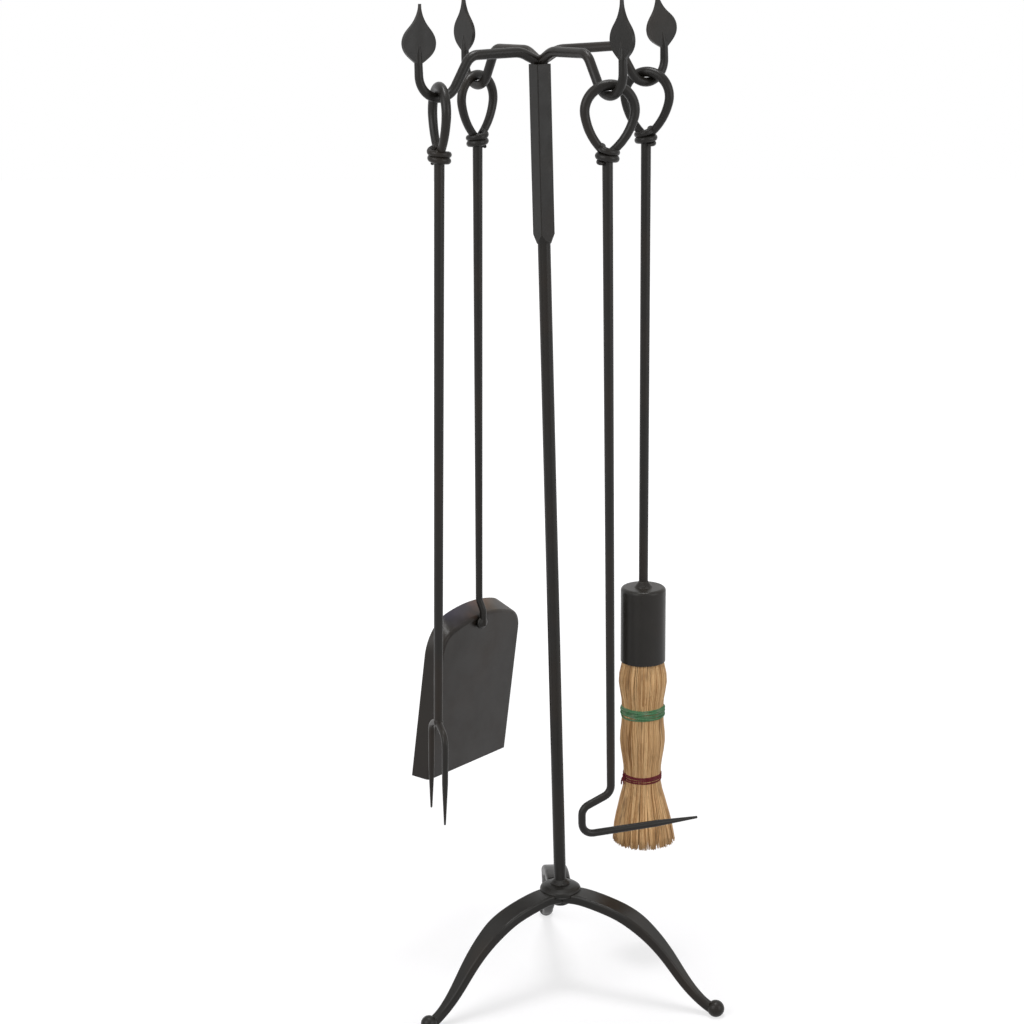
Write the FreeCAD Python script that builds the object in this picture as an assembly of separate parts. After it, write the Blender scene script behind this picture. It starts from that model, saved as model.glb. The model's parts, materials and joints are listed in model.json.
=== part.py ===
import FreeCAD, Part
import math
import os

V = FreeCAD.Vector

# ---------------------------------------------------------------- driving dimensions, millimetres
# Frame: origin on the floor at the centre of the three feet, +Z up, +Y to the back.

CLEAR = 0.2            # seam left between welded or seated pieces
HANG_GAP = 0.3         # gap between a hook and the eye that hangs on it

# three forged legs
FOOT_AZIMUTH = {"right": -23.7, "back": 96.3, "left": 218.0}
LEG_CREST_LIFT = {"right": -1.5, "back": 3.5, "left": -1.5}   # hand forged: the arches differ
FOOT_RADIUS = 137.0    # centre of the tripod to the centre of a ball foot
BALL_D = {"right": 14.0, "back": 12.6, "left": 13.2}
BALL_FLAT = 0.6        # how much of the ball is worn flat on the floor
LEG_WIDTH_HUB = 20.0
LEG_WIDTH_FOOT = 8.5
LEG_THICK = 8.4
LEG_THICK_FOOT = 7.4
LEG_CORNER = 2.2
LEG_TOP = 84.4         # height of the seat that the hub disc stands on
LEG_CREST = 3.6        # rise of the arch above its middle line at the hub

# hub and post
HUB_D = 34.0
HUB_RIM = 3.2
HUB_DOME = 5.2
POST_D = 10.0
POST_LEAN = 1.46       # degrees towards -X: the post was not welded quite square
POST_FIT = 0.06
POST_WELD = 3.2
TENON_D = 7.0
TENON_LENGTH = 20.0

# crown
CROWN_BOTTOM = 627.0
CROWN_TOP = 763.5
CROWN_SIDE = 12.6      # square bar
CROWN_TAPER = 10.0     # height over which its corners are forged down to the post
CROWN_CORNER = 0.9

# hook arms, one for each tool
BAR_D = 8.0
ARM_AZIMUTH = {"broom": 34.3, "shovel": 124.3, "fork": 214.3, "poker": 304.3}
ARM_REACH = {"broom": 100.5, "shovel": 90.0, "fork": 89.6, "poker": 91.0}
ARM_ROOT = 764.6       # centre line of the bar above the crown's axis
ARM_HEIGHT = 773.2     # centre line of the level run
ARM_RISE_RUN = 17.0    # where the arm has risen to its level run
ARM_BEND = 12.0        # centre-line radius where the arm turns down
HOOK_LOW = 743.8       # lowest point of the bar's centre line
HOOK_BEND = 17.0       # centre-line radius of the hook
HOOK_SLOPE = 58.0      # slope of the inner leg of the hook, degrees
HOOK_STEM = 770.5      # height where the stem becomes the leaf
HOOK_BAR_D = 7.2       # the bar at the bottom of the hook
STEM_D = 6.2           # the bar is drawn down towards the leaf
LEAF_HEIGHT = 42.5
LEAF_WIDTH = 27.8
LEAF_THICK = 3.0
LEAF_LEAN = {"fork": 4.0, "shovel": 0.5, "poker": 0.0, "broom": 9.0}   # degrees, tip towards the post

# eye and wrapped collar at the top of each tool
EYE_D = 45.4           # outside width of the eye
EYE_DROP = 54.5        # outside top of the eye to the throat where its legs meet
EYE_BAR_D = 8.0
EYE_TOUCH = 12.0       # degrees below its middle where the ring runs into the legs
EYE_LEG_D = 6.2        # the legs of the eye where they meet
EYE_SET = {"fork": 0.0, "shovel": 0.0, "poker": 1.9, "broom": 0.6}   # eye off the line of its rod
WRAP_D = 4.8           # tail of the bar, drawn down before it is wrapped
WRAP_PITCH = 4.9
WRAP_TURNS = 1.6
WRAP_RISE = 2.4        # top of the wrap above the point where the legs meet
WRAP_SPREAD = 7.0      # the wrap widens upwards over the legs, degrees
WRAP_FIT = 0.1

# tools; heights are above the floor
# Tilt: how far each tool leans in the XZ plane as it has settled on its hook, degrees, foot towards +X.
TOOL_TILT = {"fork": -0.75, "shovel": -0.2, "poker": 0.75, "broom": 0.35}
TOOL_YAW = {"fork": -71.0, "shovel": 50.0, "poker": 10.0, "broom": -23.0}
FORK_SPLIT = 254.0
FORK_TIP = 172.0
FORK_SPREAD = 38.5     # centre to centre of the tines
FORK_YAW = -70.5
TINE_D = 5.6
TINE_POINT_D = 4.8     # where the drawn-out point begins
TINE_POINT = 34.0      # length of the point
TINE_TIP_D = 1.6
FORK_ROD_LOW_D = 7.0

SHOVEL_ROD_LOW_D = 5.8
SHOVEL_OFFSET = 4.0    # joggle at the foot of the rod, out to the face of the pan
SHOVEL_JOGGLE = 316.0
PAN_TOP = 302.0        # fold between floor and back wall, at the middle
PAN_YAW = 57.0
PAN_TILT = 5.6
PAN_ROLL = 3.0         # the pan sits a little askew on the rod, degrees
PAN_SHIFT = 7.0        # and off the middle of its back
PAN_WIDTH = 115.0
PAN_LENGTH = 136.0
PAN_ARCH = 12.0
PAN_DEPTH = 16.0
PAN_FLARE = 24.0       # slope of the back wall, degrees
PAN_CORNER = 15.0      # corner radius at the floor
PAN_CORNER_RIM = 33.0  # corner radius at the rim
PAN_SIDE_FLARE = 2.0
PAN_SHEET = 1.6
PAN_BEND = 3.4

POKER_ROD_LOW_D = 6.6
POKER_POINT_D = 5.4    # where the drawn-out point begins
POKER_POINT = 36.0     # length of the point
POKER_TIP_D = 2.0
POKER_NECK = 203.0
POKER_BACK = 24.5      # how far the bend stands behind the rod
POKER_ARM = 171.0      # centre line of the arm under the rod
POKER_ARM_REACH = 73.8
POKER_ARM_RISE = 0.4
POKER_YAW = 20.0

BROOM_ROD_LOW_D = 7.6
FERRULE_TOP = 333.0
FERRULE_LENGTH = 64.0
FERRULE_D = 37.5
FERRULE_WALL = 1.2
FERRULE_EDGE = 3.0
FERRULE_WELD_D = 15.0
FERRULE_WELD_H = 5.0
TANG_LENGTH = 46.0
STRAW_LOW = 108.0
STRAW_GAP = 0.3
STRAW_SHOULDER_D = 39.4
STRAW_WAIST_D = 36.6
STRAW_BULGE_D = 38.0
STRAW_TIE_D = 33.0
STRAW_END_D = 51.0
GREEN_Z = 225.0
GREEN_H = 13.0
GREEN_THICK = 2.2
MAROON_Z = 166.5
MAROON_H = 8.0
MAROON_THICK = 2.0
WIRE_D = 1.4           # wire that binds the straw to the tang, inside the ferrule
WIRE_TURNS = 4

BAR_R = BAR_D / 2.0
POST_R = POST_D / 2.0
HUB_R = HUB_D / 2.0
EYE_R = (EYE_D - EYE_BAR_D) / 2.0
FERRULE_BOTTOM = FERRULE_TOP - FERRULE_LENGTH


# ---------------------------------------------------------------- small helpers

def lean(shape):
    """Tilt an upright stand piece with the post."""
    tilted = shape.copy()
    tilted.rotate(V(0, 0, 0), V(0, 1, 0), -POST_LEAN)
    return tilted


def turn(shape, degrees):
    turned = shape.copy()
    turned.rotate(V(0, 0, 0), V(0, 0, 1), degrees)
    return turned


def cylinder(radius, low, high):
    return Part.makeCylinder(radius, high - low, V(0, 0, low))


def cone(radius_low, radius_high, low, high):
    if abs(radius_low - radius_high) < 1e-6:
        return cylinder(radius_low, low, high)
    return Part.makeCone(radius_low, radius_high, high - low, V(0, 0, low))


def revolved(points):
    """Turn a closed outline of (radius, height) points about Z."""
    corners = [V(r, 0, z) for r, z in points]
    face = Part.Face(Part.makePolygon(corners + corners[:1]))
    return face.revolve(V(0, 0, 0), V(0, 0, 1), 360)


def straight(start, end):
    """One line, or nothing where a bend begins at once."""
    if start.distanceToPoint(end) < 1e-4:
        return []
    return [Part.makeLine(start, end)]


def rounded_path(points, radii):
    """Straight runs between (u, z) points in the XZ plane, joined by tangent arcs."""
    corners = [V(u, 0, z) for u, z in points]
    edges = []
    start = corners[0]
    for here, after, before, radius in zip(corners[1:], corners[2:], corners, radii):
        incoming = (here - before).normalize()
        outgoing = (after - here).normalize()
        half = incoming.getAngle(outgoing) / 2.0
        cut_back = radius * math.tan(half)
        arc_start = here - incoming * cut_back
        arc_end = here + outgoing * cut_back
        inward = (outgoing - incoming).normalize()
        middle = here + inward * (radius / math.cos(half) - radius)
        edges += straight(start, arc_start)
        edges.append(Part.Arc(arc_start, middle, arc_end).toShape())
        start = arc_end
    edges += straight(start, corners[-1])
    return Part.Wire(edges)


def ring_at(wire, at_end, radius):
    """A round section square to one end of a path."""
    edge = wire.OrderedEdges[-1] if at_end else wire.OrderedEdges[0]
    parameter = edge.LastParameter if at_end else edge.FirstParameter
    return Part.Wire(Part.makeCircle(radius, edge.valueAt(parameter), edge.tangentAt(parameter)))


def bar(wire, start_d, end_d=None):
    """Round bar along a path, with an even taper where the two ends differ."""
    sweep = Part.BRepOffsetAPI.MakePipeShell(wire)
    sweep.setFrenetMode(True)
    sweep.add(ring_at(wire, False, start_d / 2.0))
    if end_d is not None:
        sweep.add(ring_at(wire, True, end_d / 2.0))
    sweep.build()
    sweep.makeSolid()
    return sweep.shape()


def sector(half_angle, gap):
    """Tall wedge about +X; the seam between two of them is twice the gap at the apex."""
    reach = 40.0
    spread = reach * math.tan(math.radians(half_angle))
    far = 400.0
    outline = [V(gap, 0, 0), V(gap + reach, spread, 0), V(far, spread, 0)]
    outline += [V(far, -spread, 0), V(gap + reach, -spread, 0), V(gap, 0, 0)]
    return Part.Face(Part.makePolygon(outline)).extrude(V(0, 0, 1000))


def save(name, shape):
    shape.exportStep("parts/" + name + ".step")


# ---------------------------------------------------------------- legs and hub

def leg_section(centre, tangent, width, thick):
    """Rounded rectangle square to the leg's middle line."""
    across = V(0, 1, 0)
    up = tangent.cross(across) * -1.0
    corner = min(LEG_CORNER, thick * 0.3, width * 0.3)
    half_w = width / 2.0
    half_t = thick / 2.0

    def place(a, b):
        return centre + across * a + up * b

    edges = []
    for sign_w, sign_t in ((1, 1), (-1, 1), (-1, -1), (1, -1)):
        side = sign_w * half_w
        top = sign_t * half_t
        on_side = place(side, top - sign_t * corner)
        on_top = place(side - sign_w * corner, top)
        slack = corner * (1.0 - math.sqrt(0.5))
        middle = place(side - sign_w * slack, top - sign_t * slack)
        ends = (on_side, on_top) if sign_w == sign_t else (on_top, on_side)
        if edges:
            edges.append(Part.makeLine(edges[-1].valueAt(edges[-1].LastParameter), ends[0]))
        edges.append(Part.Arc(ends[0], middle, ends[1]).toShape())
    last = edges[-1].valueAt(edges[-1].LastParameter)
    first = edges[0].valueAt(edges[0].FirstParameter)
    edges.append(Part.makeLine(last, first))
    return Part.Wire(edges)


def hub_x():
    """The hub sits where the leaning post comes down on it."""
    return -LEG_TOP * math.tan(math.radians(POST_LEAN))


def leg_reach(name):
    """Direction in degrees and length, seen from above, from the hub's centre to a foot."""
    angle = math.radians(FOOT_AZIMUTH[name])
    run = FOOT_RADIUS * math.cos(angle) - hub_x()
    side = FOOT_RADIUS * math.sin(angle)
    return math.degrees(math.atan2(side, run)), math.hypot(run, side)


def leg_line(name, reach):
    """Middle line of a leg in its own plane: nearly level, an arch, then an S to the ball."""
    lift = LEG_CREST_LIFT[name]
    low = BALL_D[name] / 2.0 - BALL_FLAT
    top = LEG_TOP - LEG_THICK / 2.0 + LEG_CREST
    drop = top - low
    shape = ((0.015, 0.98), (0.13, 1.0), (0.29, 0.965), (0.445, 0.875), (0.56, 0.738),
             (0.68, 0.522), (0.795, 0.262), (0.89, 0.09), (0.97, 0.0))
    points = []
    for share, level in shape:
        bump = lift * math.sin(math.pi * min(share / 0.7, 1.0))
        points.append(V(share * reach, 0, low + level * drop + bump))
    curve = Part.BSplineCurve()
    curve.interpolate(points)
    return curve


def make_leg(name):
    azimuth, reach = leg_reach(name)
    curve = leg_line(name, reach)
    stations = 12
    sections = []
    for index in range(stations + 1):
        share = index / stations
        at = curve.FirstParameter + share * (curve.LastParameter - curve.FirstParameter)
        centre = curve.value(at)
        tangent = curve.tangent(at)[0]
        narrow = min(max((centre.x / reach - 0.5) / 0.38, 0.0), 1.0)
        width = LEG_WIDTH_HUB + (LEG_WIDTH_FOOT - LEG_WIDTH_HUB) * narrow
        thick = LEG_THICK + (LEG_THICK_FOOT - LEG_THICK) * narrow
        sections.append(leg_section(centre, tangent, width, thick))
    leg = Part.makeLoft(sections, True, False)
    ball_r = BALL_D[name] / 2.0
    leg = leg.fuse(Part.makeSphere(ball_r, V(reach, 0, ball_r - BALL_FLAT)))
    leg = leg.common(sector(59.0, CLEAR))
    leg = leg.cut(cylinder(HUB_R + CLEAR, LEG_TOP, LEG_TOP + 40.0))
    return at_hub(turn(leg, azimuth))


def at_hub(shape):
    moved = shape.copy()
    moved.translate(V(hub_x(), 0, 0))
    return moved


def make_hub():
    rim_top = LEG_TOP + HUB_RIM
    top = rim_top + HUB_DOME
    outline = [(0, LEG_TOP), (HUB_R - 1.0, LEG_TOP), (HUB_R, LEG_TOP + 1.0), (HUB_R, rim_top)]
    for step in range(1, 7):
        angle = math.radians(step * 14.0)
        outline.append((HUB_R * math.cos(angle), rim_top + HUB_DOME * math.sin(angle)))
    outline.append((0, top))
    disc = at_hub(revolved(outline))
    hole = lean(cylinder(POST_R + POST_FIT, LEG_TOP - 20.0, top + 20.0))
    return disc.cut(hole)


def make_root_weld(legs):
    """Puddle of weld that joins the three legs from below."""
    low = LEG_TOP - LEG_THICK - 1.6
    puddle = at_hub(revolved([(0, low - 1.4), (6.0, low - 0.6), (9.0, low + 1.4), (9.0, low + 4.5),
                              (0, low + 4.5)]))
    for leg in legs:
        puddle = puddle.cut(leg)
    solids = sorted(puddle.Solids, key=lambda piece: piece.Volume)
    return solids[-1]


# ---------------------------------------------------------------- post and crown

def make_post():
    shaft = cylinder(POST_R, LEG_TOP + CLEAR, CROWN_BOTTOM)
    tenon = cylinder(TENON_D / 2.0, CROWN_BOTTOM - 1.0, CROWN_BOTTOM + TENON_LENGTH)
    return lean(shaft.fuse(tenon))


def make_post_weld(hub):
    base = LEG_TOP + HUB_RIM + HUB_DOME
    bead = revolved([(POST_R + 0.02, base - 2.0), (POST_R + POST_WELD, base - 2.0),
                     (POST_R + POST_WELD, base + 0.4), (POST_R + POST_WELD * 0.45, base + 2.0),
                     (POST_R + 0.02, base + POST_WELD)])
    bead = lean(bead).cut(hub)
    solids = sorted(bead.Solids, key=lambda piece: piece.Volume)
    return solids[-1]


def make_crown():
    half = CROWN_SIDE / 2.0
    height = CROWN_TOP - CROWN_BOTTOM
    block = Part.makeBox(CROWN_SIDE, CROWN_SIDE, height, V(-half, -half, CROWN_BOTTOM))
    upright = [edge for edge in block.Edges if abs(edge.tangentAt(edge.FirstParameter).z) > 0.9]
    block = block.makeFillet(CROWN_CORNER, upright)
    shoulder = CROWN_BOTTOM + CROWN_TAPER
    die = cone(POST_R + 0.6, CROWN_SIDE * 0.75, CROWN_BOTTOM, shoulder)
    die = die.fuse(cylinder(CROWN_SIDE * 0.75, shoulder, CROWN_TOP))
    block = block.common(die)
    socket = cylinder(TENON_D / 2.0 + POST_FIT, CROWN_BOTTOM - 1.0, CROWN_BOTTOM + TENON_LENGTH + 0.5)
    block = block.cut(socket)
    return lean(turn(block, ARM_AZIMUTH["broom"]))


def hook_paths(reach):
    """Arm down to the bottom of the hook, and from there up the stem, in the arm's own plane."""
    slope = math.radians(HOOK_SLOPE)
    centre = (reach, HOOK_LOW + HOOK_BEND)
    touch = (centre[0] - HOOK_BEND * math.sin(slope), centre[1] - HOOK_BEND * math.cos(slope))
    shoulder = touch[0] - (ARM_HEIGHT - touch[1]) / math.tan(slope)
    stem = reach + HOOK_BEND
    corner = touch[0] + (touch[1] - HOOK_LOW) / math.tan(slope)
    arm = rounded_path([(-2.0, ARM_ROOT - 1.0), (ARM_RISE_RUN, ARM_HEIGHT), (shoulder, ARM_HEIGHT),
                        (corner, HOOK_LOW), (reach, HOOK_LOW)], [22.0, ARM_BEND, HOOK_BEND])
    rise = rounded_path([(reach, HOOK_LOW), (stem, HOOK_LOW), (stem, HOOK_STEM)], [HOOK_BEND])
    return arm, rise


def make_leaf():
    """Flat leaf with a drawn-out tip; its base is at the origin, in the XZ plane."""
    half = LEAF_WIDTH / 2.0
    side = ((STEM_D * 0.46, 0.0), (0.5 * half, 0.07), (0.92 * half, 0.22), (half, 0.35), (0.84 * half, 0.5),
            (0.42 * half, 0.66), (0.15 * half, 0.81), (0.035 * half, 1.0))
    right = Part.BSplineCurve()
    right.interpolate([V(x, 0, share * LEAF_HEIGHT) for x, share in side])
    left = Part.BSplineCurve()
    left.interpolate([V(-x, 0, share * LEAF_HEIGHT) for x, share in side])
    base = Part.makeLine(V(-side[0][0], 0, 0), V(side[0][0], 0, 0))
    tip = Part.makeLine(V(side[-1][0], 0, LEAF_HEIGHT), V(-side[-1][0], 0, LEAF_HEIGHT))
    outline = Part.Wire([base, right.toShape(), tip, left.toShape()])
    leaf = Part.Face(outline).extrude(V(0, LEAF_THICK, 0))
    leaf.translate(V(0, -LEAF_THICK / 2.0, 0))
    neck = cone(STEM_D / 2.0, LEAF_THICK * 0.4, 0.0, LEAF_HEIGHT * 0.38)
    return leaf.fuse(neck)


def make_hook(tool, crown_prism):
    reach = ARM_REACH[tool]
    arm_path, rise_path = hook_paths(reach)
    arm = bar(arm_path, BAR_D, HOOK_BAR_D).fuse(bar(rise_path, HOOK_BAR_D, STEM_D))
    arm = arm.common(sector(45.0, CLEAR))
    leaf = make_leaf().fuse(Part.makeSphere(STEM_D / 2.0))
    leaf.rotate(V(0, 0, 0), V(0, 1, 0), -LEAF_LEAN[tool])
    leaf.translate(V(reach + HOOK_BEND, 0, HOOK_STEM - 0.5))
    hook = turn(arm.fuse(leaf), ARM_AZIMUTH[tool])
    return lean(hook.cut(crown_prism))


def make_crown_weld(hooks):
    """Weld that fills the valley where the four arms meet."""
    bead = lean(Part.makeSphere(5.0, V(0, 0, ARM_ROOT + 0.8)))
    half = CROWN_SIDE
    bead = bead.cut(lean(Part.makeBox(2 * half, 2 * half, 40.0, V(-half, -half, CROWN_TOP - 40.0))))
    for hook in hooks:
        bead = bead.cut(hook)
    solids = sorted(bead.Solids, key=lambda piece: piece.Volume)
    return solids[-1]


# ---------------------------------------------------------------- tools

def hang_point(tool):
    """Middle of the bar at the bottom of a hook, on the leaning stand."""
    angle = math.radians(ARM_AZIMUTH[tool])
    reach = ARM_REACH[tool]
    point = Part.Vertex(reach * math.cos(angle), reach * math.sin(angle), HOOK_LOW)
    return lean(point).Point


def eye_top(tool):
    """Height of the middle of the eye's bar where it rests over the hook."""
    return hang_point(tool).z + HOOK_BAR_D / 2.0 + HANG_GAP + EYE_BAR_D / 2.0


def throat_z(tool):
    """Height where the legs of the eye meet behind the wrap."""
    return eye_top(tool) + EYE_BAR_D / 2.0 - EYE_DROP


def make_eye(tool):
    """Teardrop eye in the XZ plane, in two mirrored halves that meet at top and throat."""
    centre_top = eye_top(tool)
    middle = centre_top - EYE_R
    throat = throat_z(tool)
    reach = middle - throat
    below = math.radians(EYE_TOUCH)
    outward = V(math.cos(below), 0, -math.sin(below))
    touch = V(0, 0, middle) + outward * EYE_R
    foot = V(0, 0, throat)
    span = touch - foot
    leg_r = span.dot(span) / (2.0 * outward.dot(span))
    centre = touch - outward * leg_r
    between = centre + (outward + (foot - centre).normalize()).normalize() * leg_r
    side = V(EYE_R * math.cos(0.4), 0, middle + EYE_R * math.sin(0.4))
    leg = Part.Arc(foot, between, touch).toShape()
    arc = Part.Arc(touch, side, V(0, 0, centre_top)).toShape()
    half = bar(Part.Wire([leg, arc]), EYE_LEG_D, EYE_BAR_D)
    eye = half.fuse(half.mirror(V(0, 0, 0), V(1, 0, 0)))
    offset = EYE_SET[tool]
    eye.rotate(V(0, 0, middle), V(0, 1, 0), math.degrees(math.asin(offset / reach)))
    eye.translate(V(offset, 0, 0))
    return eye


def make_rod(tool, low, low_d):
    """Straight tapering rod from the eye down to a height."""
    top = throat_z(tool) + 1.0
    return cone(low_d / 2.0, BAR_R, low, top)


def place(tool, shape, yaw=None):
    """Turn a tool piece to its yaw and hang it on its hook."""
    point = hang_point(tool)
    eye_yaw = math.radians(TOOL_YAW[tool])
    offset = V(EYE_SET[tool] * math.cos(eye_yaw), EYE_SET[tool] * math.sin(eye_yaw), 0)
    hung = turn(shape, TOOL_YAW[tool] if yaw is None else yaw)
    hung.translate(V(point.x, point.y, 0) - offset)
    hung.rotate(V(point.x, point.y, eye_top(tool)), V(0, 1, 0), -TOOL_TILT[tool])
    return hung


def make_wrap(tool, handle):
    """Tail of the bar wound round the rod and the foot of the eye's legs."""
    radius = BAR_R + WRAP_FIT + WRAP_D / 2.0
    helix = Part.makeHelix(WRAP_PITCH, WRAP_PITCH * WRAP_TURNS, radius, WRAP_SPREAD)
    coil = bar(Part.Wire(helix.Edges), WRAP_D)
    top = throat_z(tool) + WRAP_RISE - WRAP_D / 2.0
    coil.translate(V(0, 0, top - WRAP_PITCH * WRAP_TURNS))
    return place(tool, coil).cut(handle)


def make_fork_handle():
    rod = make_rod("fork", FORK_SPLIT, FORK_ROD_LOW_D)
    return place("fork", rod.fuse(make_eye("fork")))


def make_fork_head():
    half = FORK_SPREAD / 2.0
    knuckle = Part.makeSphere(FORK_ROD_LOW_D / 2.0 + 0.4, V(0, 0, FORK_SPLIT - 2.0))
    head = knuckle
    for side in (1, -1):
        start = FORK_TIP + TINE_POINT
        path = rounded_path([(0, FORK_SPLIT - 2.0), (side * half, FORK_SPLIT - 9.0), (side * half, start)],
                            [11.0])
        point = Part.makeLine(V(side * half, 0, start), V(side * half, 0, FORK_TIP))
        head = head.fuse(bar(path, TINE_D, TINE_POINT_D))
        head = head.fuse(bar(Part.Wire([point]), TINE_POINT_D, TINE_TIP_D))
    head = head.cut(cylinder(FORK_ROD_LOW_D, FORK_SPLIT, FORK_SPLIT + 20.0))
    return place("fork", head, FORK_YAW)


def make_shovel_handle():
    """Rod with a joggle that brings its foot onto the outer face of the pan."""
    rod = make_rod("shovel", SHOVEL_JOGGLE + 8.0, SHOVEL_ROD_LOW_D)
    rod = turn(rod.fuse(make_eye("shovel")), TOOL_YAW["shovel"] - PAN_YAW)
    foot = rounded_path([(0, SHOVEL_JOGGLE + 8.0), (0, SHOVEL_JOGGLE), (SHOVEL_OFFSET, SHOVEL_JOGGLE - 9.0),
                         (SHOVEL_OFFSET, PAN_TOP - 8.0)], [8.0, 8.0])
    foot = turn(bar(foot, SHOVEL_ROD_LOW_D), -90.0)
    return place("shovel", rod.fuse(foot), PAN_YAW)


def pan_outline(inset, depth, bottom):
    """Outline of the pan at one depth: straight lip and sides, rounded corners, arched back."""
    share = depth / PAN_DEPTH
    half = PAN_WIDTH / 2.0 + share * PAN_SIDE_FLARE - inset
    rise = depth * math.tan(math.radians(PAN_FLARE)) - inset
    top = PAN_LENGTH + rise
    arch_r = (half ** 2 + PAN_ARCH ** 2) / (2.0 * PAN_ARCH)
    corner_r = PAN_CORNER + share * (PAN_CORNER_RIM - PAN_CORNER) - inset
    corner_x = half - corner_r
    corner_z = top - arch_r + math.sqrt((arch_r - corner_r) ** 2 - corner_x ** 2)
    toward = V(corner_x, 0, corner_z - (top - arch_r)).normalize()
    centre = V(corner_x, depth, corner_z)
    on_side = V(half, depth, corner_z)
    on_arch = centre + toward * corner_r
    between = centre + (toward + V(1, 0, 0)).normalize() * corner_r

    def flip(point):
        return V(-point.x, point.y, point.z)

    low = V(half, depth, bottom)
    edges = [Part.makeLine(flip(low), low), Part.makeLine(low, on_side)]
    edges.append(Part.Arc(on_side, between, on_arch).toShape())
    edges.append(Part.Arc(on_arch, V(0, depth, top), flip(on_arch)).toShape())
    edges.append(Part.Arc(flip(on_arch), flip(between), flip(on_side)).toShape())
    edges.append(Part.makeLine(flip(on_side), flip(low)))
    return Part.Wire(edges)


def folded_edges(solid, depth, bottom):
    """Edges of one depth plane that lie along the folds, not along the open lip."""
    found = []
    for edge in solid.Edges:
        box = edge.BoundBox
        if abs(box.YMin - depth) < 0.01 and abs(box.YMax - depth) < 0.01 and box.ZMax > bottom + 1.0:
            found.append(edge)
    return found


def make_pan():
    """Pan with its lip down; its open side faces +Y, its back wall flares up and out."""
    outer = Part.makeLoft([pan_outline(0, 0, 0), pan_outline(0, PAN_DEPTH, 0)], True, True)
    outer = outer.makeFillet(PAN_BEND, folded_edges(outer, 0, 0))
    below = -30.0
    beyond = PAN_DEPTH * 1.1
    inner = Part.makeLoft([pan_outline(PAN_SHEET, PAN_SHEET, below), pan_outline(PAN_SHEET, beyond, below)],
                          True, True)
    inner = inner.makeFillet(PAN_BEND - PAN_SHEET, folded_edges(inner, PAN_SHEET, below))
    pan = outer.cut(inner)
    pan.translate(V(PAN_SHIFT, 0, -PAN_LENGTH))
    pan.rotate(V(0, 0, 0), V(0, 1, 0), PAN_ROLL)
    pan.rotate(V(0, 0, 0), V(1, 0, 0), PAN_TILT)
    pan.translate(V(0, -SHOVEL_OFFSET + SHOVEL_ROD_LOW_D / 2.0 + CLEAR, PAN_TOP))
    return place("shovel", pan, PAN_YAW)


def make_pan_weld(handle, pan):
    """Weld at the foot of the rod, between it and the face of the pan."""
    bead = Part.makeSphere(1.0)
    stretch = FreeCAD.Matrix()
    stretch.scale(V(6.5, 3.2, 5.0))
    bead = bead.transformGeometry(stretch)
    bead.translate(V(0, -SHOVEL_OFFSET + 1.0, PAN_TOP - 6.0))
    bead = place("shovel", bead, PAN_YAW).cut(handle).cut(pan)
    solids = sorted(bead.Solids, key=lambda piece: piece.Volume)
    return solids[-1]


def make_poker():
    """One bar: eye, rod, a bend back and a long pointed arm."""
    joint = POKER_NECK + 30.0
    rod = make_rod("poker", joint, POKER_ROD_LOW_D)
    rod = turn(rod.fuse(make_eye("poker")), TOOL_YAW["poker"] - POKER_YAW)
    tip = V(POKER_ARM_REACH, 0, POKER_ARM + POKER_ARM_RISE)
    back = (V(-POKER_BACK, 0, POKER_ARM) - tip).normalize() * POKER_POINT
    start = tip + back
    points = [(0, joint), (0, POKER_NECK), (-POKER_BACK, POKER_NECK - 10.0), (-POKER_BACK, POKER_ARM),
              (start.x, start.z)]
    hook = bar(rounded_path(points, [9.0, 8.5, 9.5]), POKER_ROD_LOW_D, POKER_POINT_D)
    hook = hook.fuse(bar(Part.Wire([Part.makeLine(start, tip)]), POKER_POINT_D, POKER_TIP_D))
    return place("poker", rod.fuse(hook), POKER_YAW)


def make_broom_handle():
    tang = cylinder(BROOM_ROD_LOW_D / 2.0, FERRULE_TOP - TANG_LENGTH, FERRULE_TOP + 2.0)
    rod = make_rod("broom", FERRULE_TOP + 1.0, BROOM_ROD_LOW_D)
    return place("broom", rod.fuse(tang).fuse(make_eye("broom")))


def make_ferrule():
    cup = cylinder(FERRULE_D / 2.0, FERRULE_BOTTOM, FERRULE_TOP)
    top_edge = [edge for edge in cup.Edges if abs(edge.BoundBox.ZMin - FERRULE_TOP) < 0.01]
    cup = cup.makeFillet(FERRULE_EDGE, top_edge)
    bore = cylinder(FERRULE_D / 2.0 - FERRULE_WALL, FERRULE_BOTTOM - 1.0, FERRULE_TOP - FERRULE_EDGE)
    hole = cylinder(BROOM_ROD_LOW_D / 2.0 + POST_FIT, FERRULE_BOTTOM, FERRULE_TOP + 1.0)
    return place("broom", cup.cut(bore).cut(hole))


def make_ferrule_weld():
    inner = BROOM_ROD_LOW_D / 2.0 + 0.1
    outer = FERRULE_WELD_D / 2.0
    mound = revolved([(inner, FERRULE_TOP), (outer, FERRULE_TOP), (outer * 0.86, FERRULE_TOP + 1.8),
                      (outer * 0.68, FERRULE_TOP + 3.4), (inner, FERRULE_TOP + FERRULE_WELD_H)])
    return place("broom", mound)


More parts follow.
